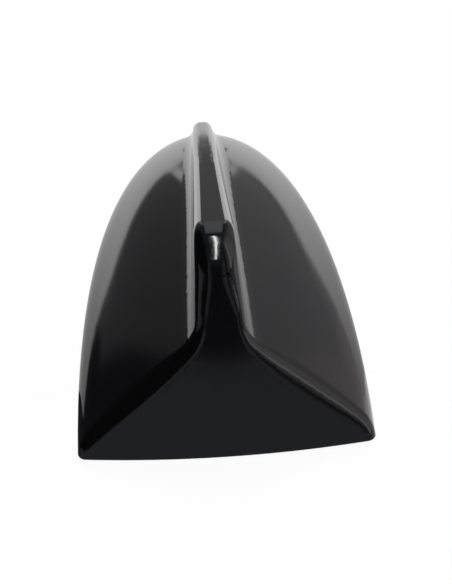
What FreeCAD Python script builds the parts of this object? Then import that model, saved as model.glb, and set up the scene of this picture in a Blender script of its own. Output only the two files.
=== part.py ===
"""Roof antenna of the fin kind: gloss cover, base with adhesive pad, and the AM/FM parts inside.

Millimetres, +Z up. Parts are drawn with their length s measured forward from the foot of the tail
face, and moved back by half the length on export, so that +Y points to the nose and the origin lies
under the middle of the footprint.
"""
import FreeCAD, Part
import math
import os

V = FreeCAD.Vector

# Cover: plan and skirts
LENGTH = 162.0
REAR_HALF_WIDTH = 35.3
RIM_GAP = 0.4
RIM_HEIGHT = 4.5
RIM_ROUND = 2.5
RIM_DRAFT = 0.05
DOME_PEAK = 33.0
RIDGE_OVERRUN = 0.325
RIDGE_POWER = 2.1
NOSE_POWER = 2.0
PLAN_BELLY = 0.262
BELLY_GAIN = 0.025
BELLY_LIMIT = 0.6
KEEL_STEP = 3.0
WALL = 2.2
OUTLINE_STEPS = 12

# Cover: tail face and fin
TAIL_LEAN_DEG = 16.5
TAIL_BOW = 2.6
FIN_HEIGHT = 53.9
FIN_NOSE_HEIGHT = 10.2
FIN_NOSE_ROUND = 10.0
FIN_TIP_HALF = 4.8
FIN_DRAFT = 0.045
FIN_NOSE_HALF = 2.64834
TIP_ROUND = 10.0
FOOT_ROUND_TAIL = 9.0
FOOT_ROUND_NOSE = 2.5
FOOT_SIDE = 3.0
FOOT_SIDE_AT = 0.75
EDGE_ROUND_CORNER = 4.5
EDGE_ROUND_SKIRT = 2.0
EDGE_ROUND_FOOT = 3.0
EDGE_ROUND_TIP = 4.2
EDGE_ROUND_NOSE = 2.5
EDGE_ROUND_RIM = 0.6
SKIRT_TOP_SHARE = 0.9

# Base and sealing
PAD_THICK = 1.5
PAD_INSET = 0.6
PLATE_THICK = 2.5
PLATE_FIT = 0.25
SEAL_WIDTH = 1.6
SEAL_HEIGHT = 1.2

# Screws that hold the cover
BOSS_RADIUS = 3.4
BOSS_FROM_EDGE = 10.5
BOSS_REAR_S = 15.0
BOSS_MIDDLE_S = 66.0
BOSS_FRONT_S = 122.0
BOSS_FRONT_HALF = 13.0
COVER_SCREW_RADIUS = 1.45
COVER_SCREW_HEAD_RADIUS = 2.7
COVER_SCREW_HEAD = 1.1
COVER_SCREW_LENGTH = 6.0

# Cable outlet
OUTLET_GAP = 5.5
OUTLET_BORE_RADIUS = 1.6
OUTLET_NECK_RADIUS = 3.4
OUTLET_FLANGE_RADIUS = 5.0
OUTLET_FLANGE = 1.4

# Amplifier board
BOARD_REAR_S = 25.0
BOARD_LENGTH = 58.0
BOARD_HALF_WIDTH = 17.0
BOARD_THICK = 1.6
BOARD_CORNER = 2.0
POST_HEIGHT = 3.0
POST_RADIUS = 2.6
POST_INSET = 3.6
SMALL_SCREW_RADIUS = 1.1
SMALL_SCREW_HEAD_RADIUS = 2.1
SMALL_SCREW_HEAD = 1.2
BOARD_SCREW_LENGTH = 5.5
GROUND_SHEET = 0.5
GROUND_MARGIN = 2.0

# Parts on the board
CAN_S = 56.0
CAN_X = -3.0
CAN_LENGTH = 22.0
CAN_WIDTH = 16.0
CAN_HEIGHT = 4.2
CAN_SHEET = 0.3
CHIP_LENGTH = 5.0
CHIP_WIDTH = 4.0
CHIP_HEIGHT = 1.2
SUPPLY_CAP_S = 45.0
SUPPLY_CAP_X = 11.5
SUPPLY_CAP_RADIUS = 2.5
SUPPLY_CAP_HEIGHT = 5.4
CHOKE_S = 36.0
CHOKE_X = 10.0
CHOKE_RADIUS = 2.4
CHOKE_HEIGHT = 3.6
CHIP_CAP_LENGTH = 1.6
CHIP_CAP_WIDTH = 0.9
CHIP_CAP_COUNT = 4
CHIP_CAP_PITCH = 3.2
CHIP_CAP_S = 48.0
CHIP_CAP_X = 13.0
SOCKET_X = 6.5
SOCKET_RADIUS = 1.9
SOCKET_REACH = 3.0
SOCKET_BLOCK = 5.0

# Aerial inside the fin
SLOT_GAP = 0.3
ELEMENT_SHEET = 0.5
ELEMENT_REAR_S = 24.0
ELEMENT_FRONT_S = 104.0
ELEMENT_SKIRT = 8.0
LEG_LENGTH = 7.0
REAR_LEG_GAP = 1.5
FRONT_LEG_GAP = 2.5
HOLDER_NOSE = 16.0
ARCH_CLEAR = 7.0
ARCH_ROUND = 3.0
FOOT_THICK = 2.0
FOOT_HALF_WIDTH = 10.0
FOOT_SCREW_X = 7.0
FOOT_MARGIN = 1.5
FOOT_SCREW_LENGTH = 4.0
COIL_S = 34.0
COIL_TOP = 32.0
COIL_CORE_RADIUS = 1.9
COIL_STRIP_THICK = 0.6
COIL_STRIP_WIDTH = 1.2
COIL_PITCH = 3.2
COIL_FLANGE = 1.0
COIL_FLANGE_RADIUS = 2.9
COIL_WINDOW_HALF = 4.0
PIN_RADIUS = 0.7
SPRING_WIDTH = 3.0
SPRING_SHEET = 0.3
SPRING_LENGTH = 6.0
SPRING_FROM_FRONT = 9.0

# Clearances
HOLE_FIT = 0.1
NEAR_ZERO = 0.6
DRAW_BEHIND = 8.0
DRAW_BELOW = 2.0

# Heights that follow from the stack
PLATE_TOP = PAD_THICK + PLATE_THICK
BOARD_BOTTOM = PLATE_TOP + POST_HEIGHT
BOARD_TOP = BOARD_BOTTOM + BOARD_THICK
ARCH_Z = BOARD_TOP + ARCH_CLEAR
SKIRT_SLOPE = (DOME_PEAK - RIM_HEIGHT) / (REAR_HALF_WIDTH + RIDGE_OVERRUN)
TAIL_LEAN = math.tan(math.radians(TAIL_LEAN_DEG))
TIP_S = FIN_HEIGHT * TAIL_LEAN
CREST_SLOPE = (FIN_HEIGHT - FIN_NOSE_HEIGHT) / (LENGTH - FIN_NOSE_ROUND - TIP_S)
CREST_ANGLE = math.atan(CREST_SLOPE)
FIN_THINNING = FIN_TIP_HALF + FIN_DRAFT * (FIN_HEIGHT - FIN_NOSE_HEIGHT) - FIN_NOSE_HALF
FIN_TAPER = FIN_THINNING / (LENGTH - TIP_S)

# Places along the base that follow from the board
BOARD_FRONT_S = BOARD_REAR_S + BOARD_LENGTH
SPRING_S = BOARD_FRONT_S - SPRING_FROM_FRONT
HOLDER_REAR_S = BOARD_REAR_S - GROUND_MARGIN - REAR_LEG_GAP - FOOT_MARGIN - LEG_LENGTH
FRONT_LEG_S = BOARD_FRONT_S + GROUND_MARGIN + FRONT_LEG_GAP + FOOT_MARGIN
HOLDER_FRONT_S = FRONT_LEG_S + LEG_LENGTH + HOLDER_NOSE
OUTLET_S = FRONT_LEG_S + LEG_LENGTH + FOOT_MARGIN + OUTLET_FLANGE_RADIUS + OUTLET_GAP


def block(x_low, x_high, s_low, s_high, z_low, z_high):
    """A box between two corners."""
    return Part.makeBox(x_high - x_low, s_high - s_low, z_high - z_low, V(x_low, s_low, z_low))


def rod(radius, x, s, z_low, z_high):
    """An upright cylinder."""
    return Part.makeCylinder(radius, z_high - z_low, V(x, s, z_low))


def rounded_sheet(half_width, s_low, s_high, z_low, z_high, corner):
    """A flat sheet with rounded upright corners."""
    sheet = block(-half_width, half_width, s_low, s_high, z_low, z_high)
    uprights = [e for e in sheet.Edges if e.BoundBox.ZLength > (z_high - z_low) / 2]
    return sheet.makeFillet(corner, uprights)


def turned(profile, x, s, z):
    """A round part from its (radius, height) profile, standing at (x, s, z)."""
    points = [V(radius, 0, height) for radius, height in profile]
    face = Part.Face(Part.makePolygon(points + [points[0]]))
    part = face.revolve(V(0, 0, 0), V(0, 0, 1), 360)
    part.translate(V(x, s, z))
    return part


def mirrored(shape):
    """The same shape on the other side of the middle plane."""
    return shape.mirror(V(0, 0, 0), V(1, 0, 0))


def side_plate(points, half_width):
    """A plate of constant thickness from its (s, z) outline in side view."""
    corners = [V(-half_width, s, z) for s, z in points]
    return Part.Face(Part.makePolygon(corners + [corners[0]])).extrude(V(2 * half_width, 0, 0))


def skirt_rise(z):
    """Height gained on the skirt's slope at height z, rounded in from the upright rim."""
    above = z - RIM_HEIGHT
    return (above + math.hypot(above, RIM_ROUND)) / 2


def skirt_normal(z):
    """Sideways and upward parts of the skirt's outward direction at height z."""
    above = z - RIM_HEIGHT
    run = (1 + above / math.hypot(above, RIM_ROUND)) / 2 / SKIRT_SLOPE
    size = math.hypot(1, run)
    return 1 / size, run / size


def tail_half_width(z, inset):
    """Half the skirts' width at the tail, at the outer height z, moved in by the inset."""
    draft = RIM_DRAFT * max(RIM_HEIGHT - z, 0)
    return REAR_HALF_WIDTH + draft - skirt_rise(z) / SKIRT_SLOPE - inset * skirt_normal(z)[0]


def waterline(z, inset, level):
    """Points of one side of the skirts' outline: straight behind the tail, round at the nose."""
    rise = skirt_rise(z)
    half = tail_half_width(z, inset)
    share = 1 - rise / (DOME_PEAK - RIM_HEIGHT)
    nose = (LENGTH - KEEL_STEP) * share ** (1 / RIDGE_POWER) - inset * skirt_normal(z)[0]
    belly = min(PLAN_BELLY + BELLY_GAIN * rise, BELLY_LIMIT)
    span = nose + DRAW_BEHIND
    points = []
    for step in range(OUTLINE_STEPS + 1):
        along = math.sin(math.pi / 2 * step / OUTLINE_STEPS)
        across = half * (1 + belly * along) * math.sqrt(max(0.0, 1 - along ** NOSE_POWER))
        points.append(V(across, span * along - DRAW_BEHIND, level))
    points[-1].x = 0.0
    return points


def skirt_heights():
    """Heights of the outlines: close together round the rim, then even up to the peak."""
    rim = [RIM_GAP + (RIM_HEIGHT - RIM_GAP) * share for share in (0, 0.4, 0.8, 1.2, 1.7)]
    top = DOME_PEAK - RIM_ROUND / 2
    even = 6
    step = (top - rim[-1]) / even
    return rim + [rim[-1] + step * (i + 1) for i in range(even)]


def fitted(points, parameters):
    """A smooth curve through the points, each at its own parameter."""
    curve = Part.BSplineCurve()
    curve.interpolate(Points=list(points), Parameters=list(parameters))
    return curve


def skin_through(rows, levels):
    """A smooth surface through rows of points that lie at the given levels."""
    along = [step / OUTLINE_STEPS for step in range(OUTLINE_STEPS + 1)]
    row_curves = [fitted(row, along) for row in rows]
    columns = zip(*[curve.getPoles() for curve in row_curves])
    column_curves = [fitted(column, levels) for column in columns]
    skin = Part.BSplineSurface()
    skin.buildFromPolesMultsKnots(
        [curve.getPoles() for curve in column_curves],
        row_curves[0].getMultiplicities(), column_curves[0].getMultiplicities(),
        row_curves[0].getKnots(), column_curves[0].getKnots(),
        False, False, row_curves[0].Degree, column_curves[0].Degree,
    )
    return skin


def dome(inset=0.0):
    """The skirts as one body, moved in by the inset; inner ones run on below the rim."""
    heights = [z for z in skirt_heights() if tail_half_width(z, inset) > NEAR_ZERO]
    levels = [z - inset * skirt_normal(z)[1] for z in heights]
    if inset > 0:
        heights.insert(0, heights[0])
        levels.insert(0, -DRAW_BELOW)
    rows = [waterline(z, inset, level) for z, level in zip(heights, levels)]
    skin = skin_through(rows, levels)
    behind, front, low, high = skin.bounds()
    right = skin.toShape()
    faces = [right, mirrored(right)]
    for level in (low, high):
        outline = skin.vIso(level)
        start = outline.value(behind)
        across = Part.LineSegment(V(-start.x, start.y, start.z), start).toShape()
        edge = outline.toShape()
        faces.append(Part.Face(Part.Wire([across, edge, mirrored(edge)])))
    upright = skin.uIso(behind)
    bottom = upright.value(low)
    top = upright.value(high)
    edge = upright.toShape()
    outline = [
        edge, Part.LineSegment(top, V(-top.x, top.y, top.z)).toShape(), mirrored(edge),
        Part.LineSegment(V(-bottom.x, bottom.y, bottom.z), bottom).toShape(),
    ]
    faces.append(Part.Face(Part.Wire(outline)))
    shell = Part.Shell(faces)
    shell.sewShape()
    body = Part.Solid(shell)
    if body.Volume < 0:
        body.reverse()
    return body


def ahead_of_tail(inset=0.0):
    """Everything in front of the leaning, slightly bowed tail face."""
    radius = (REAR_HALF_WIDTH ** 2 + TAIL_BOW ** 2) / (2 * TAIL_BOW)
    reach = 1.5 * REAR_HALF_WIDTH
    start = inset / math.cos(math.radians(TAIL_LEAN_DEG)) - TAIL_LEAN * (RIM_GAP + DRAW_BELOW)
    depth = radius - math.sqrt(radius ** 2 - reach ** 2)
    left = V(-reach, start + depth, -DRAW_BELOW)
    right = V(reach, start + depth, -DRAW_BELOW)
    far = V(0, 2 * LENGTH, 0)
    edges = [
        Part.Arc(left, V(0, start, -DRAW_BELOW), right).toShape(),
        Part.LineSegment(right, right + far).toShape(),
        Part.LineSegment(right + far, left + far).toShape(),
        Part.LineSegment(left + far, left).toShape(),
    ]
    tall = 2 * FIN_HEIGHT
    return Part.Face(Part.Wire(edges)).extrude(V(0, TAIL_LEAN * tall, tall))


def fin_half(s, z):
    """Half the fin's thickness: it thins upwards and towards the nose."""
    return FIN_TIP_HALF + FIN_DRAFT * (FIN_HEIGHT - z) + FIN_TAPER * (TIP_S - s)


def crest_height(s):
    """Height of the straight part of the fin's crest."""
    return FIN_HEIGHT - CREST_SLOPE * (s - TIP_S)


def fin(inset=0.0):
    """The fin as a wedge under its sloping crest, moved in by the inset."""
    low = RIM_GAP
    front = LENGTH
    if inset > 0:
        low = -DRAW_BELOW
        front = LENGTH - KEEL_STEP - 2 * inset
    radius = FIN_NOSE_ROUND - inset
    drop = inset / math.cos(CREST_ANGLE)
    meet_s = front - radius * (1 - math.sin(CREST_ANGLE))
    meet_z = crest_height(meet_s) - drop
    centre_s = meet_s - radius * math.sin(CREST_ANGLE)
    centre_z = meet_z - radius * math.cos(CREST_ANGLE)
    half_turn = (CREST_ANGLE + math.pi / 2) / 2
    back = -DRAW_BEHIND
    behind_low = V(0, back, low)
    behind_high = V(0, back, crest_height(back) - drop)
    meet = V(0, meet_s, meet_z)
    bend = V(0, centre_s + radius * math.sin(half_turn), centre_z + radius * math.cos(half_turn))
    front_high = V(0, front, centre_z)
    front_low = V(0, front, low)
    edges = [
        Part.LineSegment(behind_low, behind_high).toShape(),
        Part.LineSegment(behind_high, meet).toShape(),
        Part.Arc(meet, bend, front_high).toShape(),
        Part.LineSegment(front_high, front_low).toShape(),
        Part.LineSegment(front_low, behind_low).toShape(),
    ]
    wide = 2 * fin_half(back, low)
    side_view = Part.Face(Part.Wire(edges)).extrude(V(2 * wide, 0, 0))
    side_view.translate(V(-wide, 0, 0))
    return side_view.common(fin_wedge(back, LENGTH + DRAW_BEHIND, low, 2 * FIN_HEIGHT, inset))


def fin_wedge(s_low, s_high, z_low, z_high, inset):
    """The space between the fin's two side planes, moved in by the inset."""
    wide = 4 * fin_half(s_low, z_low)

    def side_space(side):
        ends = [(s_low, z_low), (s_high, z_low), (s_high, z_high), (s_low, z_high)]
        corners = [V(side * (fin_half(s, z) - inset), s, z) for s, z in ends]
        return Part.Face(Part.makePolygon(corners + [corners[0]])).extrude(V(-side * wide, 0, 0))

    return side_space(-1).common(side_space(1))


def rounded_tip(form, radius):
    """The form with the edge between its tail face and its crest rounded over."""
    tip = [
        e for e in form.Edges
        if e.BoundBox.ZMin > crest_height(2 * TIP_S) and e.BoundBox.XLength > e.BoundBox.ZLength
        and e.BoundBox.YMax < 2 * TIP_S
    ]
    return form.makeFillet(radius, tip)


def fin_inside(inset):
    """The space inside the fin at the given inset, cut off at the tail and rounded at the tip."""
    return rounded_tip(fin(inset).common(ahead_of_tail(inset)), TIP_ROUND - inset)


def edge_round(point):
    """Radius of the cover's rounded edges at a point of the tail's outline or of the crest."""
    if point.y > LENGTH / 2:
        return EDGE_ROUND_NOSE
    if point.z < RIM_HEIGHT:
        return EDGE_ROUND_CORNER
    if point.z < SKIRT_TOP_SHARE * DOME_PEAK:
        return EDGE_ROUND_SKIRT
    if point.z < DOME_PEAK:
        return EDGE_ROUND_FOOT
    return EDGE_ROUND_TIP


def is_outline(edge):
    """Whether an edge runs up the tail's outline, over the tip or along the crest on one side."""
    box = edge.BoundBox
    smooth = edge.Curve.TypeId == "Part::GeomBSplineCurve" and box.YLength > LENGTH / 2
    return box.XMin * box.XMax > 0 and box.ZLength > EDGE_ROUND_RIM and not smooth


def rounded_by_place(form, edges):
    """The form with the edges rounded, each from the radius at its start to the radius at its end."""
    doc = FreeCAD.newDocument("rounding")
    base = doc.addObject("Part::Feature", "base")
    base.Shape = form
    fillet = doc.addObject("Part::Fillet", "fillet")
    fillet.Base = base
    rows = []
    for number, edge in enumerate(form.Edges, start=1):
        if any(edge.isSame(one) for one in edges):
            ends = [edge_round(edge.valueAt(at)) for at in (edge.FirstParameter, edge.LastParameter)]
            rows.append((number, ends[0], ends[1]))
    fillet.Edges = rows
    doc.recompute()
    rounded = fillet.Shape.copy()
    FreeCAD.closeDocument(doc.Name)
    return rounded


def ridge_height(s):
    """Height of the skirts' ridge under the fin."""
    return RIM_HEIGHT + (DOME_PEAK - RIM_HEIGHT) * (1 - (s / (LENGTH - KEEL_STEP)) ** RIDGE_POWER)


def foot_share():
    """Share of the hollow curve's radii that the fin's side has room for, well forward where it is low."""
    forward = FOOT_SIDE_AT * LENGTH
    return min(1.0, (crest_height(forward) - ridge_height(forward)) / FOOT_SIDE)


def cover_outside():
    """The outer form: skirts and fin, hollow-rounded where they meet, edges rounded over."""
    form = dome().fuse(fin()).removeSplitter()
    widest = 2 * fin_half(-DRAW_BEHIND, RIM_GAP)
    foot = [
        e for e in form.Edges
        if e.Curve.TypeId == "Part::GeomBSplineCurve"
        and e.BoundBox.YLength > LENGTH / 2 and e.BoundBox.XLength < widest / 2
    ]
    share = foot_share()
    form = form.makeFillet(FOOT_ROUND_NOSE * share, FOOT_ROUND_TAIL * share, foot)
    form = form.common(ahead_of_tail()).removeSplitter()
    form = rounded_tip(form, TIP_ROUND)
    form = rounded_by_place(form, [e for e in form.Edges if is_outline(e)])
    rim = [e for e in form.Edges if e.BoundBox.ZMax < RIM_GAP + HOLE_FIT]
    return form.makeFillet(EDGE_ROUND_RIM, rim)


def inside(inset):
    """The space inside the skirts only, for what fits the rim."""
    return dome(inset).common(ahead_of_tail(inset))


def layer(inset, z_low, z_high):
    """A flat layer that follows the rim at the given inset."""
    wide = 2 * REAR_HALF_WIDTH
    return inside(inset).common(block(-wide, wide, -LENGTH, 2 * LENGTH, z_low, z_high))


def boss_places():
    """Places (x, s) of the screws that hold the cover."""
    side = REAR_HALF_WIDTH - BOSS_FROM_EDGE
    rows = [(side, BOSS_REAR_S), (side, BOSS_MIDDLE_S), (BOSS_FRONT_HALF, BOSS_FRONT_S)]
    return [(sign * x, s) for x, s in rows for sign in (-1, 1)]


def post_places():
    """Places (x, s) of the posts that carry the board."""
    x = BOARD_HALF_WIDTH - POST_INSET
    return [
        (sign * x, s) for sign in (-1, 1)
        for s in (BOARD_REAR_S + POST_INSET, BOARD_FRONT_S - POST_INSET)
    ]


def foot_places():
    """Places (x, s) of the screws through the holder's two feet."""
    middles = (HOLDER_REAR_S + LEG_LENGTH / 2, FRONT_LEG_S + LEG_LENGTH / 2)
    return [(sign * FOOT_SCREW_X, s) for s in middles for sign in (-1, 1)]


COVER_SCREW_SEAT = PAD_THICK + COVER_SCREW_HEAD + HOLE_FIT


def fin_cover():
    """The moulded cover, hollow, with screw bosses that reach down to the base plate."""
    hollow = inside(WALL).fuse(fin_inside(WALL))
    shell = cover_outside().cut(hollow)
    half_wall = dome(WALL / 2)
    bosses = [
        rod(BOSS_RADIUS, x, s, PLATE_TOP, DOME_PEAK).common(half_wall) for x, s in boss_places()
    ]
    shell = shell.fuse(bosses)
    depth = COVER_SCREW_SEAT + COVER_SCREW_LENGTH + HOLE_FIT
    holes = [
        rod(COVER_SCREW_RADIUS + HOLE_FIT, x, s, PLATE_TOP - HOLE_FIT, depth)
        for x, s in boss_places()
    ]
    return shell.cut(holes)


def base_plate():
    """The moulded base: seal step round its edge, board posts, screw holes and cable outlet."""
    plate = layer(WALL + PLATE_FIT, PAD_THICK, PLATE_TOP)
    step = plate.cut(layer(WALL + PLATE_FIT + SEAL_WIDTH, PAD_THICK - 1, PLATE_TOP + 1))
    low = PLATE_TOP - SEAL_HEIGHT
    wide = 2 * REAR_HALF_WIDTH
    step = step.common(block(-wide, wide, -LENGTH, 2 * LENGTH, low, PLATE_TOP))
    plate = plate.cut(step)
    posts = [rod(POST_RADIUS, x, s, PLATE_TOP - 1, BOARD_BOTTOM) for x, s in post_places()]
    plate = plate.fuse(posts)
    cuts = []
    for x, s in boss_places():
        cuts.append(rod(COVER_SCREW_RADIUS + HOLE_FIT, x, s, PAD_THICK - 1, PLATE_TOP + 1))
        cuts.append(rod(COVER_SCREW_HEAD_RADIUS + HOLE_FIT, x, s, PAD_THICK - 1, COVER_SCREW_SEAT))
    for x, s in post_places():
        cuts.append(rod(SMALL_SCREW_RADIUS + HOLE_FIT, x, s, PAD_THICK, BOARD_BOTTOM + 1))
    for x, s in foot_places():
        cuts.append(rod(SMALL_SCREW_RADIUS + HOLE_FIT, x, s, PAD_THICK, PLATE_TOP + 1))
    cuts.append(rod(OUTLET_NECK_RADIUS + HOLE_FIT, 0, OUTLET_S, PAD_THICK - 1, PLATE_TOP + 1))
    return plate.cut(cuts)


def mounting_pad():
    """The foam pad with its adhesive, glued under the base plate."""
    pad = layer(WALL + PAD_INSET, 0, PAD_THICK)
    return pad.cut(rod(OUTLET_FLANGE_RADIUS + HOLE_FIT, 0, OUTLET_S, -1, PAD_THICK + 1))


def rim_seal():
    """The soft cord pressed between the plate's step and the cover's wall."""
    low = PLATE_TOP - SEAL_HEIGHT
    ring = layer(WALL, low, PLATE_TOP)
    return ring.cut(layer(WALL + PLATE_FIT + SEAL_WIDTH, low - 1, PLATE_TOP + 1))


def cable_grommet():
    """The rubber grommet that grips the plate round the cable outlet."""
    neck = OUTLET_NECK_RADIUS
    lip = (OUTLET_NECK_RADIUS + OUTLET_FLANGE_RADIUS) / 2
    low = RIM_GAP
    top = PLATE_TOP + OUTLET_FLANGE
    profile = [
        (OUTLET_BORE_RADIUS, low), (OUTLET_FLANGE_RADIUS, low), (OUTLET_FLANGE_RADIUS, PAD_THICK),
        (neck, PAD_THICK), (neck, PLATE_TOP), (OUTLET_FLANGE_RADIUS, PLATE_TOP),
        (OUTLET_FLANGE_RADIUS, PLATE_TOP + OUTLET_FLANGE / 2), (lip, top), (OUTLET_BORE_RADIUS, top),
    ]
    return turned(profile, 0, OUTLET_S, 0)


def screw(shank, head, head_height, length):
    """A pan-head screw with a cross recess, head up, seated at height 0."""
    tip = shank * 0.6
    profile = [
        (0, -length), (tip, -length), (shank, -length + shank), (shank, 0), (head, 0),
        (head, head_height * 0.5), (head * 0.75, head_height), (0, head_height),
    ]
    part = turned(profile, 0, 0, 0)
    arm = head * 0.6
    slot = shank * 0.25
    deep = head_height * 0.4
    for half_x, half_s in ((arm, slot), (slot, arm)):
        part = part.cut(block(-half_x, half_x, -half_s, half_s, deep, head_height + 1))
    return part


def screws_at(places, seat, shank, head, head_height, length, head_up=True):
    """A group of like screws, one at each place."""
    group = []
    for x, s in places:
        one = screw(shank, head, head_height, length)
        if not head_up:
            one.rotate(V(0, 0, 0), V(0, 1, 0), 180)
        one.translate(V(x, s, seat))
        group.append(one)
    return Part.makeCompound(group)


def cover_screws():
    """The screws that come up through the plate into the cover's bosses."""
    return screws_at(
        boss_places(), COVER_SCREW_SEAT, COVER_SCREW_RADIUS, COVER_SCREW_HEAD_RADIUS,
        COVER_SCREW_HEAD, COVER_SCREW_LENGTH, head_up=False,
    )


def board_screws():
    """The screws that hold the board to its posts."""
    return screws_at(
        post_places(), BOARD_TOP, SMALL_SCREW_RADIUS, SMALL_SCREW_HEAD_RADIUS,
        SMALL_SCREW_HEAD, BOARD_SCREW_LENGTH,
    )


def holder_screws():
    """The screws that hold the holder's feet to the plate."""
    return screws_at(
        foot_places(), PLATE_TOP + FOOT_THICK, SMALL_SCREW_RADIUS, SMALL_SCREW_HEAD_RADIUS,
        SMALL_SCREW_HEAD, FOOT_SCREW_LENGTH,
    )


def ground_plate():
    """The sheet-metal earth plane that lies on the base under the board."""
    sheet = rounded_sheet(
        BOARD_HALF_WIDTH + GROUND_MARGIN, BOARD_REAR_S - GROUND_MARGIN,
        BOARD_FRONT_S + GROUND_MARGIN, PLATE_TOP, PLATE_TOP + GROUND_SHEET, BOARD_CORNER,
    )
    return sheet.cut([rod(POST_RADIUS + HOLE_FIT, x, s, PLATE_TOP - 1, BOARD_TOP) for x, s in post_places()])


def ground_spring():
    """The bent strip that joins the board's underside to the earth plane."""
    low = PLATE_TOP + GROUND_SHEET
    high = BOARD_BOTTOM
    s0 = SPRING_S
    s1 = SPRING_S + SPRING_LENGTH
    outline = [
        (s1, low), (s0, low), (s0, low + SPRING_SHEET), (s1 - SPRING_SHEET, high - SPRING_SHEET),
        (s0 + SPRING_SHEET, high - SPRING_SHEET), (s0 + SPRING_SHEET, high), (s1, high),
        (s1, high - SPRING_SHEET), (s0 + 3 * SPRING_SHEET, low + SPRING_SHEET), (s1, low + SPRING_SHEET),
    ]
    return side_plate(outline, SPRING_WIDTH / 2)


def amplifier_board():
    """The printed board on its four posts."""
    board = rounded_sheet(
        BOARD_HALF_WIDTH, BOARD_REAR_S, BOARD_FRONT_S, BOARD_BOTTOM, BOARD_TOP, BOARD_CORNER
    )
    holes = [
        rod(SMALL_SCREW_RADIUS + HOLE_FIT, x, s, BOARD_BOTTOM - 1, BOARD_TOP + 1) for x, s in post_places()
    ]
    return board.cut(holes)


def shield_can():
    """The folded can over the amplifier, open below, with rounded corners and vent holes."""
    half_s = CAN_LENGTH / 2
    half_x = CAN_WIDTH / 2
    top = BOARD_TOP + CAN_HEIGHT

    def shell(inset, z_low, corner):
        sheet = rounded_sheet(half_x - inset, -half_s + inset, half_s - inset, z_low, top - inset, corner)
        return sheet

    can = shell(0, BOARD_TOP, 3 * CAN_SHEET).cut(shell(CAN_SHEET, BOARD_TOP - 1, 2 * CAN_SHEET))
    pitch = CAN_LENGTH / 5
    vents = [
        rod(3 * CAN_SHEET, x * pitch, s * pitch, BOARD_TOP, top + 1) for s in (-1, 0, 1) for x in (-1, 1)
    ]
    can = can.cut(vents)
    can.translate(V(CAN_X, CAN_S, 0))
    return can


def amplifier_chip():
    """The amplifier in its flat package, with legs down both sides."""
    stand = CHIP_HEIGHT / 6
    body = block(-CHIP_WIDTH / 2, CHIP_WIDTH / 2, -CHIP_LENGTH / 2, CHIP_LENGTH / 2, stand, CHIP_HEIGHT)
    legs = []
    pitch = CHIP_LENGTH / 4
    for i in range(4):
        s = (i - 1.5) * pitch
        reach = CHIP_WIDTH / 2 + CHIP_HEIGHT
        legs.append(block(-reach, reach, s - pitch / 5, s + pitch / 5, 0, stand * 2))
    chip = body.fuse(legs).removeSplitter()
    chip.translate(V(CAN_X, CAN_S, BOARD_TOP))
    return chip


def supply_capacitor():
    """The can capacitor of the supply filter, with its crimped neck."""
    r = SUPPLY_CAP_RADIUS
    h = SUPPLY_CAP_HEIGHT
    neck = r * 0.88
    profile = [
        (0, 0), (r, 0), (r, h * 0.16), (neck, h * 0.22), (neck, h * 0.28), (r, h * 0.34),
        (r, h * 0.94), (r * 0.92, h), (0, h),
    ]
    return turned(profile, SUPPLY_CAP_X, SUPPLY_CAP_S, BOARD_TOP)


def filter_chokes():
    """The pair of drum chokes in the supply filter."""
    r = CHOKE_RADIUS
    h = CHOKE_HEIGHT
    waist = r * 0.72
    profile = [(0, 0), (r, 0), (r, h * 0.22), (waist, h * 0.28), (waist, h * 0.72), (r, h * 0.78), (r, h), (0, h)]
    return Part.makeCompound([turned(profile, sign * CHOKE_X, CHOKE_S, BOARD_TOP) for sign in (-1, 1)])


def chip_capacitors():
    """Two rows of small chip capacitors, each with raised end caps."""
    group = []
    end = CHIP_CAP_LENGTH / 5
    lift = CHIP_CAP_WIDTH / 12
    for sign in (-1, 1):
        for i in range(CHIP_CAP_COUNT):
            half = CHIP_CAP_WIDTH / 2
            span = CHIP_CAP_LENGTH / 2
            body = block(-half + lift, half - lift, -span, span, lift, CHIP_CAP_WIDTH - lift)
            caps = [
                block(-half, half, -span, -span + end, 0, CHIP_CAP_WIDTH),
                block(-half, half, span - end, span, 0, CHIP_CAP_WIDTH),
            ]
            one = body.fuse(caps).removeSplitter()
            one.translate(V(sign * CHIP_CAP_X, CHIP_CAP_S + CHIP_CAP_PITCH * (i + 1), BOARD_TOP))
            group.append(one)
    return Part.makeCompound(group)


def coax_socket():
    """The plug-in socket for the aerial lead, at the board's front edge."""
    front = BOARD_FRONT_S
    half = SOCKET_BLOCK / 2
    axis_z = BOARD_TOP + half
    body = block(SOCKET_X - half, SOCKET_X + half, front - SOCKET_BLOCK, front, BOARD_TOP, BOARD_TOP + SOCKET_BLOCK)
    barrel = Part.makeCylinder(SOCKET_RADIUS, SOCKET_REACH, V(SOCKET_X, front, axis_z), V(0, 1, 0))
    hole = Part.makeCylinder(SOCKET_RADIUS * 0.7, SOCKET_REACH, V(SOCKET_X, front, axis_z), V(0, 1, 0))
    pin = Part.makeCylinder(SOCKET_RADIUS * 0.2, SOCKET_REACH * 0.8, V(SOCKET_X, front, axis_z), V(0, 1, 0))
    return body.fuse(barrel).cut(hole).fuse(pin)


BLADE_INSET = WALL + SLOT_GAP + ELEMENT_SHEET


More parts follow.
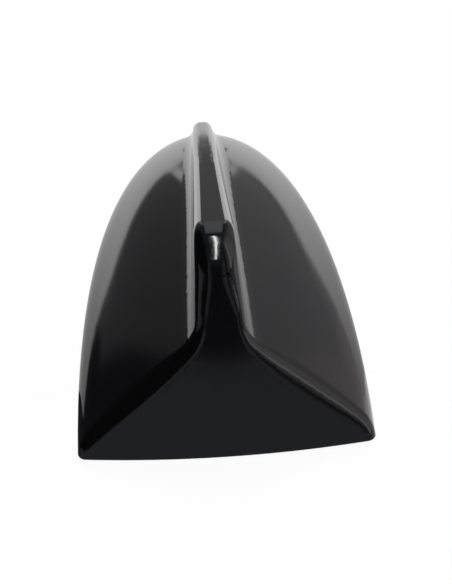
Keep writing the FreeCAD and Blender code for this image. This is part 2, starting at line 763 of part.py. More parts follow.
def element_holder():
    """The moulded blade that carries the aerial up inside the fin, on two screwed feet."""
    rear_end = HOLDER_REAR_S + LEG_LENGTH
    front_end = FRONT_LEG_S + LEG_LENGTH
    high = 2 * FIN_HEIGHT
    outline = [
        (HOLDER_REAR_S, PLATE_TOP), (rear_end, PLATE_TOP), (rear_end, ARCH_Z), (FRONT_LEG_S, ARCH_Z),
        (FRONT_LEG_S, PLATE_TOP), (front_end, PLATE_TOP), (HOLDER_FRONT_S, ARCH_Z),
        (HOLDER_FRONT_S, high), (HOLDER_REAR_S, high),
    ]
    side = side_plate(outline, REAR_HALF_WIDTH)
    arch = [
        e for e in side.Edges
        if e.BoundBox.XLength > REAR_HALF_WIDTH and abs(e.BoundBox.ZMin - ARCH_Z) < HOLE_FIT
        and e.BoundBox.YMax < HOLDER_FRONT_S - HOLE_FIT
    ]
    side = side.makeFillet(ARCH_ROUND, arch)
    blade = fin_inside(BLADE_INSET).common(side)
    feet = []
    for s in (HOLDER_REAR_S, FRONT_LEG_S):
        feet.append(rounded_sheet(
            FOOT_HALF_WIDTH, s - FOOT_MARGIN, s + LEG_LENGTH + FOOT_MARGIN,
            PLATE_TOP, PLATE_TOP + FOOT_THICK, FOOT_MARGIN,
        ))
    holder = blade.fuse(feet).removeSplitter()
    cuts = [rod(SMALL_SCREW_RADIUS + HOLE_FIT, x, s, PLATE_TOP - 1, ARCH_Z) for x, s in foot_places()]
    window_low = ARCH_Z - ARCH_ROUND
    cuts.append(block(
        -REAR_HALF_WIDTH, REAR_HALF_WIDTH, COIL_S - COIL_WINDOW_HALF, COIL_S + COIL_WINDOW_HALF,
        window_low, COIL_TOP,
    ))
    cuts.append(rod(PIN_RADIUS + HOLE_FIT, 0, COIL_S, COIL_TOP - 1, high))
    return holder.cut(cuts)


def top_element():
    """The folded sheet-metal saddle along the crest of the holder."""
    outer = fin(WALL + SLOT_GAP)
    saddle = outer.cut(fin(BLADE_INSET))
    drop = ELEMENT_SKIRT + (WALL + SLOT_GAP) / math.cos(CREST_ANGLE)
    high = 2 * FIN_HEIGHT
    region = [
        (ELEMENT_REAR_S, crest_height(ELEMENT_REAR_S) - drop),
        (ELEMENT_FRONT_S, crest_height(ELEMENT_FRONT_S) - drop),
        (ELEMENT_FRONT_S, high), (ELEMENT_REAR_S, high),
    ]
    return saddle.common(side_plate(region, REAR_HALF_WIDTH))


def coil_former():
    """The bobbin that stands on the board inside the holder's window."""
    low = BOARD_TOP
    profile = [
        (0, low), (COIL_FLANGE_RADIUS, low), (COIL_FLANGE_RADIUS, low + COIL_FLANGE),
        (COIL_CORE_RADIUS, low + COIL_FLANGE), (COIL_CORE_RADIUS, COIL_TOP - COIL_FLANGE),
        (COIL_FLANGE_RADIUS, COIL_TOP - COIL_FLANGE), (COIL_FLANGE_RADIUS, COIL_TOP), (0, COIL_TOP),
    ]
    return turned(profile, 0, COIL_S, 0)


def helical_coil():
    """The loading coil, a flat strip wound in one layer on the bobbin."""
    half_width = COIL_STRIP_WIDTH / 2
    low = BOARD_TOP + COIL_FLANGE + half_width + HOLE_FIT
    high = COIL_TOP - COIL_FLANGE - half_width - HOLE_FIT
    inner = COIL_CORE_RADIUS + HOLE_FIT
    outer = inner + COIL_STRIP_THICK
    path = Part.makeHelix(COIL_PITCH, high - low, (inner + outer) / 2)
    corners = [V(inner, 0, -half_width), V(outer, 0, -half_width), V(outer, 0, half_width), V(inner, 0, half_width)]
    section = Part.makePolygon(corners + [corners[0]])
    coil = Part.Wire(path).makePipeShell([section], True, True)
    coil.translate(V(0, COIL_S, low))
    return coil


def element_pin():
    """The pin from the top of the coil through the holder to the saddle."""
    pin = rod(PIN_RADIUS, 0, COIL_S, COIL_TOP, 2 * FIN_HEIGHT)
    return pin.common(fin(BLADE_INSET))


PIECES = [
    fin_cover, base_plate, mounting_pad, rim_seal, cover_screws, cable_grommet, ground_plate,
    ground_spring, amplifier_board, board_screws, shield_can, amplifier_chip, supply_capacitor,
    filter_chokes, chip_capacitors, coax_socket, element_holder, holder_screws, top_element,
    coil_former, helical_coil, element_pin,
]

os.makedirs("parts", exist_ok=True)
for piece in PIECES:
    shape = piece()
    shape.translate(V(0, -LENGTH / 2, 0))
    shape.exportStep("parts/" + piece.__name__ + ".step")
    print(piece.__name__, shape.isValid(), len(shape.Solids), round(shape.Volume, 1))
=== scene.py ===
"""Looks of a fin-shaped roof antenna: gloss cover, base, hidden aerial parts, studio and camera.

Every piece is in metres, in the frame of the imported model: +Y to the nose, +Z up out of the roof.
"""
import logging
import math
from dataclasses import dataclass, field
from enum import Enum
from typing import Dict, Optional, Sequence, Tuple

import bpy
from mathutils import Matrix, Vector


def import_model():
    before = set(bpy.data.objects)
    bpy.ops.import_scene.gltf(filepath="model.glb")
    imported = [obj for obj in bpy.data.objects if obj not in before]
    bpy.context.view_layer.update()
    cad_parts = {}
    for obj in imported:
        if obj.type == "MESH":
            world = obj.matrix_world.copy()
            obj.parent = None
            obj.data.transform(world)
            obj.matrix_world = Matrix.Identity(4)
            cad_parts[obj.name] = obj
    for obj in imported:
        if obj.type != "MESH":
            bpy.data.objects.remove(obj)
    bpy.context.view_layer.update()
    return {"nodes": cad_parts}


LOG = logging.getLogger("roof_antenna")
PICTURE_HEIGHT = 584

Colour = Tuple[float, float, float]
Place = Tuple[float, float, float]
Span = Tuple[float, float]

REAR_GREY: Colour = (0.31, 0.318, 0.36)
LEFT_DARK: Colour = (0.022, 0.022, 0.026)
AHEAD_GREY: Colour = (0.14, 0.14, 0.14)
LEFT_BOARD: Colour = (0.9, 0.9, 0.9)
RIGHT_BOARD: Colour = (0.95, 0.95, 0.95)


class Slot(Enum):
    """Material slots of the record, by the name the record gives them."""

    COVER = "cover_gloss"
    BASE = "base_plastic"
    PAD = "pad_foam"
    SEAL = "seal_rubber"
    SCREW = "screw_steel"
    TINNED = "tinned_sheet"
    BOARD = "board_green"
    CHIP = "chip_black"
    CERAMIC = "ceramic_tan"
    CAN = "capacitor_can"
    FERRITE = "ferrite"
    BRASS = "contact_brass"
    HOLDER = "holder_white"
    COPPER = "coil_copper"


class NodeBuilder:
    """Adds and links nodes in one node tree."""

    def __init__(self, tree: bpy.types.NodeTree) -> None:
        """Keep the tree that nodes are added to."""
        self.tree = tree

    def add(self, kind: str, **inputs: object) -> bpy.types.Node:
        """Add a node and set or link its named inputs.

        Args:
            kind: Blender's name of the node type.
            inputs: values or output sockets, by input name with spaces as underscores.

        Returns:
            The new node.
        """
        node = self.tree.nodes.new(kind)
        for name, value in inputs.items():
            self.put(node.inputs[name.replace("_", " ")], value)
        return node

    def put(self, socket: bpy.types.NodeSocket, value: object) -> None:
        """Link an output socket to the input, or set its value."""
        if isinstance(value, bpy.types.NodeSocket):
            self.tree.links.new(value, socket)
        else:
            socket.default_value = value

    def math(
        self, operation: str, first: object, second: object = 0.0, clamp: bool = False
    ) -> bpy.types.NodeSocket:
        """Add a Math node and return its value socket."""
        node = self.tree.nodes.new("ShaderNodeMath")
        node.operation = operation
        node.use_clamp = clamp
        self.put(node.inputs[0], first)
        self.put(node.inputs[1], second)
        return node.outputs[0]

    def mix(self, factor: object, first: object, second: object) -> bpy.types.NodeSocket:
        """Add a colour Mix node and return its result socket."""
        node = self.tree.nodes.new("ShaderNodeMix")
        node.data_type = "RGBA"
        self.put(node.inputs["Factor"], factor)
        self.put(node.inputs[6], first)
        self.put(node.inputs[7], second)
        return node.outputs[2]

    def noise(self, vector: object, scale: float, detail: float = 2.0) -> bpy.types.NodeSocket:
        """Add a Noise Texture and return its value socket."""
        node = self.add("ShaderNodeTexNoise", Vector=vector, Scale=scale, Detail=detail)
        return node.outputs[0]

    def ramp(self, value: object, low: float, high: float) -> bpy.types.NodeSocket:
        """Map a range of values to 0..1, clamped, and return the socket."""
        node = self.add("ShaderNodeMapRange", Value=value)
        node.inputs["From Min"].default_value = low
        node.inputs["From Max"].default_value = high
        return node.outputs["Result"]


def opaque(colour: Colour) -> Tuple[float, float, float, float]:
    """The colour with full alpha."""
    return (*colour, 1.0)


def new_group(
    name: str, inputs: Dict[str, float], outputs: Dict[str, str]
) -> Tuple[bpy.types.NodeTree, NodeBuilder]:
    """Make an empty shader group with named sockets.

    Args:
        name: the group's name.
        inputs: float inputs and their defaults.
        outputs: output names and socket types.

    Returns:
        The group and a builder for its nodes.
    """
    group = bpy.data.node_groups.new(name, "ShaderNodeTree")
    group.interface.new_socket("Vector", in_out="INPUT", socket_type="NodeSocketVector")
    for label, value in inputs.items():
        socket = group.interface.new_socket(label, in_out="INPUT", socket_type="NodeSocketFloat")
        socket.default_value = value
    for label, kind in outputs.items():
        group.interface.new_socket(label, in_out="OUTPUT", socket_type=kind)
    return group, NodeBuilder(group)


@dataclass
class SurfaceEffects:
    """Shared shader groups: fine dust, handling marks and moulded grain."""

    dust: Optional[bpy.types.NodeTree] = None
    marks: Optional[bpy.types.NodeTree] = None
    grain: Optional[bpy.types.NodeTree] = None
    speck_edge: Span = (0.05, 0.16)
    speck_share: Span = (0.82, 0.9)
    lying_slope: Span = (0.1, 0.8)
    smear_scale: float = 45.0
    smear_edge: Span = (0.42, 0.72)
    hairline_stretch: Place = (4200.0, 60.0, 900.0)
    hairline_turn: Place = (0.1, 0.2, 0.5)
    hairline_edge: Span = (0.72, 0.8)
    peel_scale: float = 520.0
    mottle_scale: float = 70.0

    def build(self) -> None:
        """Make the groups once."""
        self.dust = self._dust_group()
        self.marks = self._marks_group()
        self.grain = self._grain_group()

    def _dust_group(self) -> bpy.types.NodeTree:
        """Sparse pale specks that settle on upward faces."""
        group, build = new_group(
            "settled_dust", {"Scale": 1800.0, "Amount": 0.2}, {"Mask": "NodeSocketFloat"}
        )
        entry = build.add("NodeGroupInput")
        place = entry.outputs["Vector"]
        cells = build.add("ShaderNodeTexVoronoi", Vector=place, Scale=entry.outputs["Scale"])
        speck = build.math("SUBTRACT", 1.0, build.ramp(cells.outputs["Distance"], *self.speck_edge))
        lone = build.ramp(cells.outputs["Color"], *self.speck_share)
        normal = build.add("ShaderNodeNewGeometry").outputs["Normal"]
        facing = build.add("ShaderNodeSeparateXYZ", Vector=normal)
        lying = build.ramp(facing.outputs["Z"], *self.lying_slope)
        mask = build.math("MULTIPLY", build.math("MULTIPLY", speck, lone), lying)
        mask = build.math("MULTIPLY", mask, entry.outputs["Amount"], clamp=True)
        build.add("NodeGroupOutput", Mask=mask)
        return group

    def _marks_group(self) -> bpy.types.NodeTree:
        """Broad smears and fine hairlines that change the gloss a little."""
        group, build = new_group(
            "handling_marks", {"Smear": 0.02, "Hairline": 0.03},
            {"Roughness Gain": "NodeSocketFloat", "Height": "NodeSocketFloat"},
        )
        entry = build.add("NodeGroupInput")
        place = entry.outputs["Vector"]
        smear = build.ramp(build.noise(place, self.smear_scale, 3.0), *self.smear_edge)
        stretched = build.add("ShaderNodeMapping", Vector=place)
        stretched.inputs["Scale"].default_value = self.hairline_stretch
        stretched.inputs["Rotation"].default_value = self.hairline_turn
        lines = build.ramp(build.noise(stretched.outputs[0], 1.0, 1.0), *self.hairline_edge)
        gain = build.math("ADD", build.math("MULTIPLY", smear, entry.outputs["Smear"]),
                          build.math("MULTIPLY", lines, entry.outputs["Hairline"]))
        peel = build.noise(place, self.peel_scale, 2.0)
        build.add("NodeGroupOutput", Roughness_Gain=gain, Height=peel)
        return group

    def _grain_group(self) -> bpy.types.NodeTree:
        """Fine moulded or foam grain, as a height and a colour mask."""
        group, build = new_group(
            "moulded_grain", {"Scale": 900.0}, {"Height": "NodeSocketFloat", "Mottle": "NodeSocketFloat"}
        )
        entry = build.add("NodeGroupInput")
        place = entry.outputs["Vector"]
        fine = build.add("ShaderNodeTexNoise", Vector=place, Scale=entry.outputs["Scale"], Detail=4.0)
        broad = build.noise(place, self.mottle_scale, 3.0)
        build.add("NodeGroupOutput", Height=fine.outputs[0], Mottle=broad)
        return group


def start_material(name: str) -> Tuple[bpy.types.Material, NodeBuilder, bpy.types.Node, bpy.types.NodeSocket]:
    """A new material with a Principled shader and Object coordinates.

    Args:
        name: the material's name.

    Returns:
        The material, a builder, its shader and the coordinate socket.
    """
    material = bpy.data.materials.new(name)
    material.use_nodes = True
    shader = material.node_tree.nodes["Principled BSDF"]
    build = NodeBuilder(material.node_tree)
    place = build.add("ShaderNodeTexCoord").outputs["Object"]
    return material, build, shader, place


def place_group(
    build: NodeBuilder, group: bpy.types.NodeTree, place: object, **values: float
) -> bpy.types.Node:
    """Put a shared group into a material with its own values."""
    node = build.tree.nodes.new("ShaderNodeGroup")
    node.node_tree = group
    build.put(node.inputs["Vector"], place)
    for name, value in values.items():
        node.inputs[name.replace("_", " ")].default_value = value
    return node


def add_bump(
    build: NodeBuilder, shader: bpy.types.Node, height: object, strength: float, depth: float
) -> None:
    """Feed a height through a Bump node to the shader's normal."""
    bump = build.add("ShaderNodeBump", Height=height, Strength=strength, Distance=depth)
    build.put(shader.inputs["Normal"], bump.outputs["Normal"])


@dataclass(frozen=True)
class PolishedLacquer:
    """Deep black gloss, clearest at the fin's tip, with faint peel, smears and a few specks of dust."""

    name: str = "polished_black"
    colour: Colour = (0.0015, 0.0015, 0.0017)
    dust_colour: Colour = (0.16, 0.155, 0.15)
    roughness: float = 0.085
    tip_roughness: float = 0.03
    tip_height: Span = (0.04, 0.045)
    dust_scale: float = 900.0
    dust_amount: float = 0.35
    dust_roughness: float = 0.5
    smear: float = 0.03
    hairline: float = 0.05
    ior: float = 1.52
    peel_strength: float = 0.25
    peel_depth: float = 0.000003

    def build(self, effects: SurfaceEffects) -> bpy.types.Material:
        """Make the material.

        Args:
            effects: the shared shader groups.

        Returns:
            The finished material.
        """
        material, build, shader, place = start_material(self.name)
        dust = place_group(build, effects.dust, place, Scale=self.dust_scale, Amount=self.dust_amount)
        marks = place_group(build, effects.marks, place, Smear=self.smear, Hairline=self.hairline)
        colour = build.mix(dust.outputs["Mask"], opaque(self.colour), opaque(self.dust_colour))
        build.put(shader.inputs["Base Color"], colour)
        height = build.add("ShaderNodeSeparateXYZ", Vector=place).outputs["Z"]
        below_tip = build.math("SUBTRACT", 1.0, build.ramp(height, *self.tip_height))
        rough = build.math("ADD", self.roughness - self.tip_roughness, marks.outputs["Roughness Gain"])
        rough = build.math("ADD", self.tip_roughness, build.math("MULTIPLY", rough, below_tip))
        dusty = build.math("MULTIPLY", dust.outputs["Mask"], self.dust_roughness)
        rough = build.math("ADD", rough, dusty, clamp=True)
        build.put(shader.inputs["Roughness"], rough)
        shader.inputs["IOR"].default_value = self.ior
        add_bump(build, shader, marks.outputs["Height"], self.peel_strength, self.peel_depth)
        return material


@dataclass(frozen=True)
class GrainedFinish:
    """Matt mouldings, foam, rubber, board and ceramic: a colour with grain and mottle."""

    name: str
    colour: Colour
    second: Colour
    roughness: float
    grain_scale: float = 900.0
    grain_depth: float = 0.00006
    grain_strength: float = 0.5
    mottle_edge: Span = (0.3, 0.7)
    mottle_roughness: float = 0.12

    def build(self, effects: SurfaceEffects) -> bpy.types.Material:
        """Make the material.

        Args:
            effects: the shared shader groups.

        Returns:
            The finished material.
        """
        material, build, shader, place = start_material(self.name)
        grain = place_group(build, effects.grain, place, Scale=self.grain_scale)
        mottle = build.ramp(grain.outputs["Mottle"], *self.mottle_edge)
        build.put(shader.inputs["Base Color"], build.mix(mottle, opaque(self.colour), opaque(self.second)))
        spread = build.math("MULTIPLY", mottle, self.mottle_roughness)
        build.put(shader.inputs["Roughness"], build.math("ADD", self.roughness, spread, clamp=True))
        add_bump(build, shader, grain.outputs["Height"], self.grain_strength, self.grain_depth)
        return material


@dataclass(frozen=True)
class PlatedMetal:
    """Bare or plated metal with rolling marks and a little tarnish."""

    name: str
    colour: Colour
    tarnish: Colour
    roughness: float
    smear: float = 0.18
    hairline: float = 0.15
    grain_scale: float = 1500.0
    grain_strength: float = 0.2
    grain_depth: float = 0.00002
    stain_edge: Span = (0.45, 0.75)

    def build(self, effects: SurfaceEffects) -> bpy.types.Material:
        """Make the material.

        Args:
            effects: the shared shader groups.

        Returns:
            The finished material.
        """
        material, build, shader, place = start_material(self.name)
        marks = place_group(build, effects.marks, place, Smear=self.smear, Hairline=self.hairline)
        grain = place_group(build, effects.grain, place, Scale=self.grain_scale)
        stain = build.ramp(grain.outputs["Mottle"], *self.stain_edge)
        build.put(shader.inputs["Base Color"], build.mix(stain, opaque(self.colour), opaque(self.tarnish)))
        build.put(shader.inputs["Roughness"],
                  build.math("ADD", self.roughness, marks.outputs["Roughness Gain"], clamp=True))
        shader.inputs["Metallic"].default_value = 1.0
        add_bump(build, shader, grain.outputs["Height"], self.grain_strength, self.grain_depth)
        return material


FINISHES: Dict[Slot, object] = {
    Slot.COVER: PolishedLacquer(),
    Slot.BASE: GrainedFinish("moulded_base", (0.02, 0.02, 0.021), (0.03, 0.03, 0.032), 0.5),
    Slot.PAD: GrainedFinish("foam_pad", (0.04, 0.04, 0.041), (0.06, 0.06, 0.06), 0.85, 2200.0, 0.0002),
    Slot.SEAL: GrainedFinish("soft_rubber", (0.014, 0.014, 0.015), (0.022, 0.022, 0.022), 0.7),
    Slot.SCREW: PlatedMetal("zinc_screw", (0.58, 0.59, 0.6), (0.46, 0.47, 0.46), 0.28),
    Slot.TINNED: PlatedMetal("tinned_sheet", (0.72, 0.72, 0.7), (0.6, 0.6, 0.57), 0.24),
    Slot.BOARD: GrainedFinish("board_mask", (0.012, 0.11, 0.045), (0.018, 0.15, 0.06), 0.3, 1600.0, 0.00002),
    Slot.CHIP: GrainedFinish("chip_moulding", (0.016, 0.016, 0.017), (0.024, 0.024, 0.025), 0.6),
    Slot.CERAMIC: GrainedFinish("fired_ceramic", (0.38, 0.26, 0.14), (0.46, 0.32, 0.18), 0.45),
    Slot.CAN: PlatedMetal("drawn_can", (0.78, 0.78, 0.79), (0.66, 0.66, 0.66), 0.2),
    Slot.FERRITE: GrainedFinish("pressed_ferrite", (0.045, 0.045, 0.047), (0.07, 0.068, 0.066), 0.55),
    Slot.BRASS: PlatedMetal("contact_brass", (0.8, 0.6, 0.26), (0.62, 0.45, 0.2), 0.22),
    Slot.HOLDER: GrainedFinish("natural_moulding", (0.74, 0.72, 0.66), (0.78, 0.76, 0.71), 0.45),
    Slot.COPPER: PlatedMetal("enamelled_copper", (0.72, 0.32, 0.14), (0.55, 0.22, 0.09), 0.25),
}


@dataclass
class CoverShell:
    """The gloss cover: the moulding that is nearly all that shows."""

    node: str = "fin_cover"
    slot: Slot = Slot.COVER
    piece: Optional[bpy.types.Object] = None

    def dress(self, nodes: Dict[str, bpy.types.Object], materials: Dict[Slot, bpy.types.Material]) -> None:
        """Give the cover its finish."""
        self.piece = nodes[self.node]
        set_material(self.piece, materials[self.slot])


@dataclass
class InnerParts:
    """Everything under and inside the cover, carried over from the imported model."""

    slots: Dict[str, Slot] = field(default_factory=lambda: {
        "base_plate": Slot.BASE,
        "mounting_pad": Slot.PAD,
        "rim_seal": Slot.SEAL,
        "cable_grommet": Slot.SEAL,
        "cover_screws": Slot.SCREW,
        "board_screws": Slot.SCREW,
        "holder_screws": Slot.SCREW,
        "ground_plate": Slot.TINNED,
        "shield_can": Slot.TINNED,
        "top_element": Slot.TINNED,
        "ground_spring": Slot.BRASS,
        "coax_socket": Slot.BRASS,
        "element_pin": Slot.BRASS,
        "amplifier_board": Slot.BOARD,
        "amplifier_chip": Slot.CHIP,
        "supply_capacitor": Slot.CAN,
        "filter_chokes": Slot.FERRITE,
        "chip_capacitors": Slot.CERAMIC,
        "element_holder": Slot.HOLDER,
        "coil_former": Slot.HOLDER,
        "helical_coil": Slot.COPPER,
    })

    def dress(self, nodes: Dict[str, bpy.types.Object], materials: Dict[Slot, bpy.types.Material]) -> None:
        """Give each carried-over piece its finish."""
        for name, slot in self.slots.items():
            set_material(nodes[name], materials[slot])
            LOG.info("%s takes %s", name, slot.value)


def set_material(piece: bpy.types.Object, material: bpy.types.Material) -> None:
    """Put one material in all of a piece's slots."""
    if not piece.material_slots:
        piece.data.materials.append(material)
    for place in piece.material_slots:
        place.material = material


@dataclass(frozen=True)
class SoftLamp:
    """One rectangular soft lamp."""

    name: str
    place: Place
    aim: Place
    width: float
    height: float
    power: float
    mirrored: bool = True

    def build(self) -> None:
        """Hang the lamp and turn it to its aim."""
        data = bpy.data.lights.new(self.name, "AREA")
        data.shape = "RECTANGLE"
        data.size = self.width
        data.size_y = self.height
        data.energy = self.power
        lamp = bpy.data.objects.new(self.name, data)
        lamp.location = self.place
        lamp.rotation_euler = (Vector(self.aim) - Vector(self.place)).to_track_quat("-Z", "Y").to_euler()
        lamp.visible_glossy = self.mirrored
        bpy.context.scene.collection.objects.link(lamp)
        LOG.info("%s hung", self.name)


@dataclass(frozen=True)
class RoomTone:
    """Brightness of the room in one direction round the horizon."""

    bearing_deg: float
    colour: Colour


@dataclass(frozen=True)
class PaperSheet:
    """One of two white sheets that lie side by side, with a gap ahead of the nose where reflections show the
    desk's dark painted tone.

    The outer edge spreads from the part's tail to the sheet's full width.
    """

    name: str
    side: float
    white: Colour
    full_width: float
    seam: float
    rear: float = -0.05
    rear_width: float = 0.049
    spread: float = 0.42
    seam_start: float = 0.172
    seam_spread: float = 0.11
    front: float = 0.65

    def corners(self) -> Sequence[Place]:
        """The sheet's outline on the floor.

        Returns:
            Its corners, in order.
        """
        widest = self.rear + (self.full_width - self.rear_width) / self.spread
        far_seam = self.seam + self.seam_spread * (self.front - self.seam_start)
        outline = (
            (0.0, self.rear), (0.0, self.seam_start), (self.seam, self.seam_start), (far_seam, self.front),
            (self.full_width, self.front), (self.full_width, widest), (self.rear_width, self.rear),
        )
        return [(self.side * across, along, 0.0) for across, along in outline]


@dataclass
class Studio:
    """White sheets on a desk in a dim room that is brighter on the right, with soft lamps."""

    # The left sheet's white is set a little lower than the right's: painted shade on the left, seen in
    # reflections.
    sheets: Sequence[PaperSheet] = (
        PaperSheet("left_sheet", -1.0, (0.97, 0.965, 0.97), 0.15, 0.018),
        PaperSheet("right_sheet", 1.0, (1.0, 1.0, 1.0), 0.185, 0.022),
    )
    # Painted shadow on the sheets' reflected white: the span along the part where it lifts, its darkest level
    # and its curve.
    sheet_painted_shade_span: Span = (-0.075, 0.11)
    sheet_darkest_painted_shade: float = 0.25
    sheet_painted_shade_power: float = 0.7
    floor_colour: Colour = (0.82, 0.82, 0.82)
    shown_to_lens: float = 0.95
    desk_half_width: float = 1.0
    desk_behind: float = 0.46
    desk_ahead: float = 1.2
    desk_drop: float = 0.0002
    tail_place: Place = (0.0, -0.06, 0.0)
    desk_rear_edge: Span = (-0.085, -0.07)
    open_ahead: Span = (-0.5, -0.3)
    open_aside: Span = (0.12, 0.3)
    horizon_edge: Span = (-0.012, 0.0)
    ceiling_rise: Span = (0.33, 0.5)
    ceiling_aside: Span = (0.25, 0.45)
    wall_rise: Span = (0.0, 0.8)
    wall_ahead: Span = (0.38, 0.5)
    wall_aside: Span = (0.08, 0.15)
    below_horizon: Colour = (0.05, 0.051, 0.058)
    ceiling: Colour = (0.12, 0.145, 0.175)
    front_wall: Colour = (0.87, 0.87, 0.9)
    desk_painted_rear_tone: Colour = REAR_GREY
    # In the world these tones light the room; the desk repeats them as painted light in reflections, brighter
    # to the right and dark to the left as painted shade.
    tones: Sequence[RoomTone] = (
        RoomTone(-180, REAR_GREY), RoomTone(-158, REAR_GREY), RoomTone(-155.5, (0.03, 0.03, 0.034)),
        RoomTone(-60, LEFT_DARK), RoomTone(-37.4, LEFT_DARK),
        RoomTone(-36.7, (0.115, 0.115, 0.122)), RoomTone(-12.6, (0.145, 0.145, 0.15)),
        RoomTone(-11.9, LEFT_BOARD), RoomTone(-9, LEFT_BOARD),
        RoomTone(-8.2, AHEAD_GREY), RoomTone(8.2, AHEAD_GREY),
        RoomTone(9, RIGHT_BOARD), RoomTone(12, RIGHT_BOARD),
        RoomTone(12.8, (0.28, 0.28, 0.285)), RoomTone(38.2, (0.32, 0.32, 0.335)),
        RoomTone(38.8, (0.25, 0.245, 0.245)), RoomTone(39.2, (0.42, 0.385, 0.385)),
        RoomTone(65, (0.5, 0.47, 0.47)), RoomTone(81, (0.82, 0.8, 0.8)), RoomTone(106, (0.9, 0.9, 0.9)),
        RoomTone(110, (1.6, 1.6, 1.6)), RoomTone(115, (1.5, 1.5, 1.5)),
        RoomTone(120, (0.55, 0.55, 0.56)), RoomTone(134, (0.27, 0.27, 0.29)),
        RoomTone(138.5, (0.08, 0.08, 0.085)), RoomTone(145, (0.12, 0.12, 0.13)),
        RoomTone(151, (0.26, 0.265, 0.29)), RoomTone(157, REAR_GREY), RoomTone(180, REAR_GREY),
    )
    lamps: Sequence[SoftLamp] = (
        SoftLamp("front_softbox", (0.08, 0.42, 0.75), (0.0, 0.05, 0.0), 0.6, 0.4, 6.0, mirrored=False),
        SoftLamp("desk_fill", (0.0, -0.35, 1.1), (0.0, -0.3, 0.0), 0.5, 0.3, 2.5, mirrored=False),
        SoftLamp("tip_strip", (0.0127, -0.375, 0.999), (0.0127, -0.066, 0.048), 0.0026, 1.35, 0.32),
        SoftLamp("front_bulb", (-0.098, 0.445, 0.907), (0.0, -0.06, 0.05), 0.09, 0.09, 0.9),
    )

    def build(self) -> None:
        """Lay the sheets and the desk, paint the room and hang the lamps."""
        tones = self._tone_group()
        for sheet in self.sheets:
            self._lay(sheet.name, sheet.corners(), self._paper(sheet))
        half = self.desk_half_width
        level = -self.desk_drop
        corners = [
            (-half, -self.desk_behind, level), (half, -self.desk_behind, level),
            (half, self.desk_ahead, level), (-half, self.desk_ahead, level),
        ]
        self._lay("desk", corners, self._desk(tones))
        self._room(tones)
        for lamp in self.lamps:
            lamp.build()

    def _lay(self, name: str, corners: Sequence[Place], material: bpy.types.Material) -> None:
        """Lay a flat sheet under the part.

        Args:
            name: the sheet's name.
            corners: its outline.
            material: its finish.
        """
        mesh = bpy.data.meshes.new(name)
        mesh.from_pydata(corners, [], [range(len(corners))])
        sheet = bpy.data.objects.new(name, mesh)
        bpy.context.scene.collection.objects.link(sheet)
        mesh.materials.append(material)

    def _tone_group(self) -> bpy.types.NodeTree:
        """The room's tones round the horizon, as a shared group.

        Returns:
            A group that gives the tone in the direction of its vector.
        """
        group, build = new_group("room_tones", {}, {"Color": "NodeSocketColor"})
        entry = build.add("NodeGroupInput")
        parts = build.add("ShaderNodeSeparateXYZ", Vector=entry.outputs["Vector"])
        bearing = build.math("ARCTAN2", parts.outputs["X"], parts.outputs["Y"])
        panorama = build.add("ShaderNodeValToRGB", Fac=build.ramp(bearing, -math.pi, math.pi))
        stops = panorama.color_ramp.elements
        while len(stops) < len(self.tones):
            stops.new(0.5)
        for stop, tone in zip(stops, self.tones):
            stop.position = (tone.bearing_deg + 180.0) / 360.0
        for stop, tone in zip(stops, self.tones):
            stop.color = opaque(tone.colour)
        build.add("NodeGroupOutput", Color=panorama.outputs["Color"])
        return group

    def _start_floor(self, name: str) -> Tuple[bpy.types.Material, NodeBuilder, bpy.types.NodeSocket]:
        """A bare floor material and its coordinates."""
        material = bpy.data.materials.new(name)
        material.use_nodes = True
        material.node_tree.nodes.clear()
        build = NodeBuilder(material.node_tree)
        return material, build, build.add("ShaderNodeTexCoord").outputs["Object"]

    def _end_floor(self, build: NodeBuilder, mirrored_tone: object) -> None:
        """Finish a floor material: white to the lens with the shadow kept, and to reflections a painted glow
        of its own tone in place of the lit floor.

        Args:
            build: the material's builder.
            mirrored_tone: the painted colour that the floor glows with in reflections.
        """
        rays = build.add("ShaderNodeLightPath")
        matt = build.add("ShaderNodeBsdfDiffuse", Color=opaque(self.floor_colour))
        white = build.add("ShaderNodeEmission", Color=(1.0, 1.0, 1.0, 1.0), Strength=1.0)
        seen = build.add("ShaderNodeMixShader")
        build.put(seen.inputs[0], build.math("MULTIPLY", rays.outputs["Is Camera Ray"], self.shown_to_lens))
        build.put(seen.inputs[1], matt.outputs[0])
        build.put(seen.inputs[2], white.outputs[0])
        # Painted reflection: glossy and transmission rays see the floor glow with this tone instead of its
        # lit colour.
        painted_glow = build.add("ShaderNodeEmission", Color=mirrored_tone, Strength=1.0)
        whole = build.add("ShaderNodeMixShader")
        build.put(whole.inputs[0], build.math(
            "ADD", rays.outputs["Is Glossy Ray"], rays.outputs["Is Transmission Ray"], clamp=True))
        build.put(whole.inputs[1], seen.outputs[0])
        build.put(whole.inputs[2], painted_glow.outputs[0])
        build.add("ShaderNodeOutputMaterial", Surface=whole.outputs[0])

    def _paper(self, sheet: PaperSheet) -> bpy.types.Material:
        """White paper whose reflected white darkens towards the tail, a painted shadow of the part."""
        material, build, place = self._start_floor(sheet.name + "_paper")
        along = build.add("ShaderNodeSeparateXYZ", Vector=place).outputs["Y"]
        # Painted shadow: the reflected white is darkened towards the tail.
        painted_light = build.math("POWER", build.ramp(along, *self.sheet_painted_shade_span), self.sheet_painted_shade_power)
        painted_light = build.math("ADD", self.sheet_darkest_painted_shade, build.math("MULTIPLY", painted_light, 1.0 - self.sheet_darkest_painted_shade))
        self._end_floor(build, build.mix(painted_light, (0.0, 0.0, 0.0, 1.0), opaque(sheet.white)))
        return material

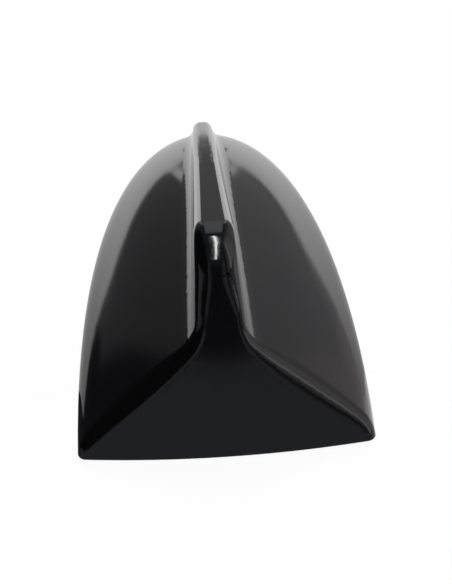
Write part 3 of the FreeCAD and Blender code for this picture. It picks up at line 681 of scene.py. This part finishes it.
    def _desk(self, tones: bpy.types.NodeTree) -> bpy.types.Material:
        """A desk that glows with painted light in reflections: plain grey behind the tail, and ahead of it
        the room's tone in each direction.
        """
        material, build, place = self._start_floor("desk_painted_tone")
        away = build.tree.nodes.new("ShaderNodeVectorMath")
        away.operation = "SUBTRACT"
        build.put(away.inputs[0], place)
        build.put(away.inputs[1], self.tail_place)
        around = place_group(build, tones, away.outputs[0]).outputs["Color"]
        along = build.add("ShaderNodeSeparateXYZ", Vector=place).outputs["Y"]
        beside = build.ramp(along, *self.desk_rear_edge)
        # Painted light: in reflections the desk shows a plain grey behind the tail and the room's tones ahead
        # of it.
        self._end_floor(build, build.mix(beside, opaque(self.desk_painted_rear_tone), around))
        return material

    def _room(self, tones: bpy.types.NodeTree) -> None:
        """Paint the room: tones round the horizon, dark below it and behind, a front wall and a ceiling."""
        world = bpy.data.worlds.new("studio_room")
        bpy.context.scene.world = world
        world.use_nodes = True
        build = NodeBuilder(world.node_tree)
        direction = build.add("ShaderNodeTexCoord").outputs["Generated"]
        parts = build.add("ShaderNodeSeparateXYZ", Vector=direction)
        up = parts.outputs["Z"]
        ahead = parts.outputs["Y"]
        around = place_group(build, tones, direction).outputs["Color"]
        aside = build.math("ABSOLUTE", parts.outputs["X"])
        not_behind = build.ramp(ahead, *self.open_ahead)
        open_room = build.math("MAXIMUM", not_behind, build.ramp(aside, *self.open_aside))
        tone = build.mix(open_room, opaque(self.below_horizon), around)
        tone = build.mix(build.ramp(up, *self.horizon_edge), opaque(self.below_horizon), tone)
        midway = build.math("SUBTRACT", 1.0, build.ramp(aside, *self.ceiling_aside))
        overhead = build.math("MULTIPLY", build.ramp(up, *self.ceiling_rise), midway)
        tone = build.mix(overhead, tone, opaque(self.ceiling))
        straight = build.math("SUBTRACT", 1.0, build.ramp(aside, *self.wall_aside))
        wall = build.math("MULTIPLY", build.ramp(up, *self.wall_rise), build.ramp(ahead, *self.wall_ahead))
        tone = build.mix(build.math("MULTIPLY", wall, straight), tone, opaque(self.front_wall))
        build.put(world.node_tree.nodes["Background"].inputs["Color"], tone)


@dataclass
class PhotoCamera:
    """The camera fitted to the photograph."""

    aim: Place = (0.00304, -0.00972, 0.0)
    distance: float = 0.42
    heading_deg: float = 1.16
    elevation_deg: float = 33.72
    roll_deg: float = -3.065
    focal_px: float = 1527.0
    sensor: float = 36.0
    nearest: float = 0.01

    def build(self) -> None:
        """Make the camera and point it."""
        data = bpy.data.cameras.new("photo_camera")
        data.sensor_width = self.sensor
        data.lens = self.focal_px / PICTURE_HEIGHT * self.sensor
        data.clip_start = self.nearest
        camera = bpy.data.objects.new("photo_camera", data)
        heading = math.radians(self.heading_deg)
        elevation = math.radians(self.elevation_deg)
        level = math.cos(elevation)
        ahead = Vector((math.sin(heading) * level, math.cos(heading) * level, -math.sin(elevation)))
        place = Vector(self.aim) - ahead * self.distance
        look = ahead.to_track_quat("-Z", "Y").to_matrix().to_4x4()
        roll = Matrix.Rotation(math.radians(self.roll_deg), 4, "Z")
        camera.matrix_world = Matrix.Translation(place) @ look @ roll
        bpy.context.scene.collection.objects.link(camera)
        bpy.context.scene.camera = camera


def main() -> None:
    """Load the frame, dress every piece, and set the studio and the camera."""
    logging.basicConfig(level=logging.INFO, format="%(message)s")
    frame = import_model()
    effects = SurfaceEffects()
    effects.build()
    materials = {slot: finish.build(effects) for slot, finish in FINISHES.items()}
    CoverShell().dress(frame["nodes"], materials)
    InnerParts().dress(frame["nodes"], materials)
    Studio().build()
    PhotoCamera().build()
    bpy.context.scene.view_settings.view_transform = "Standard"


if __name__ == "__main__":
    main()
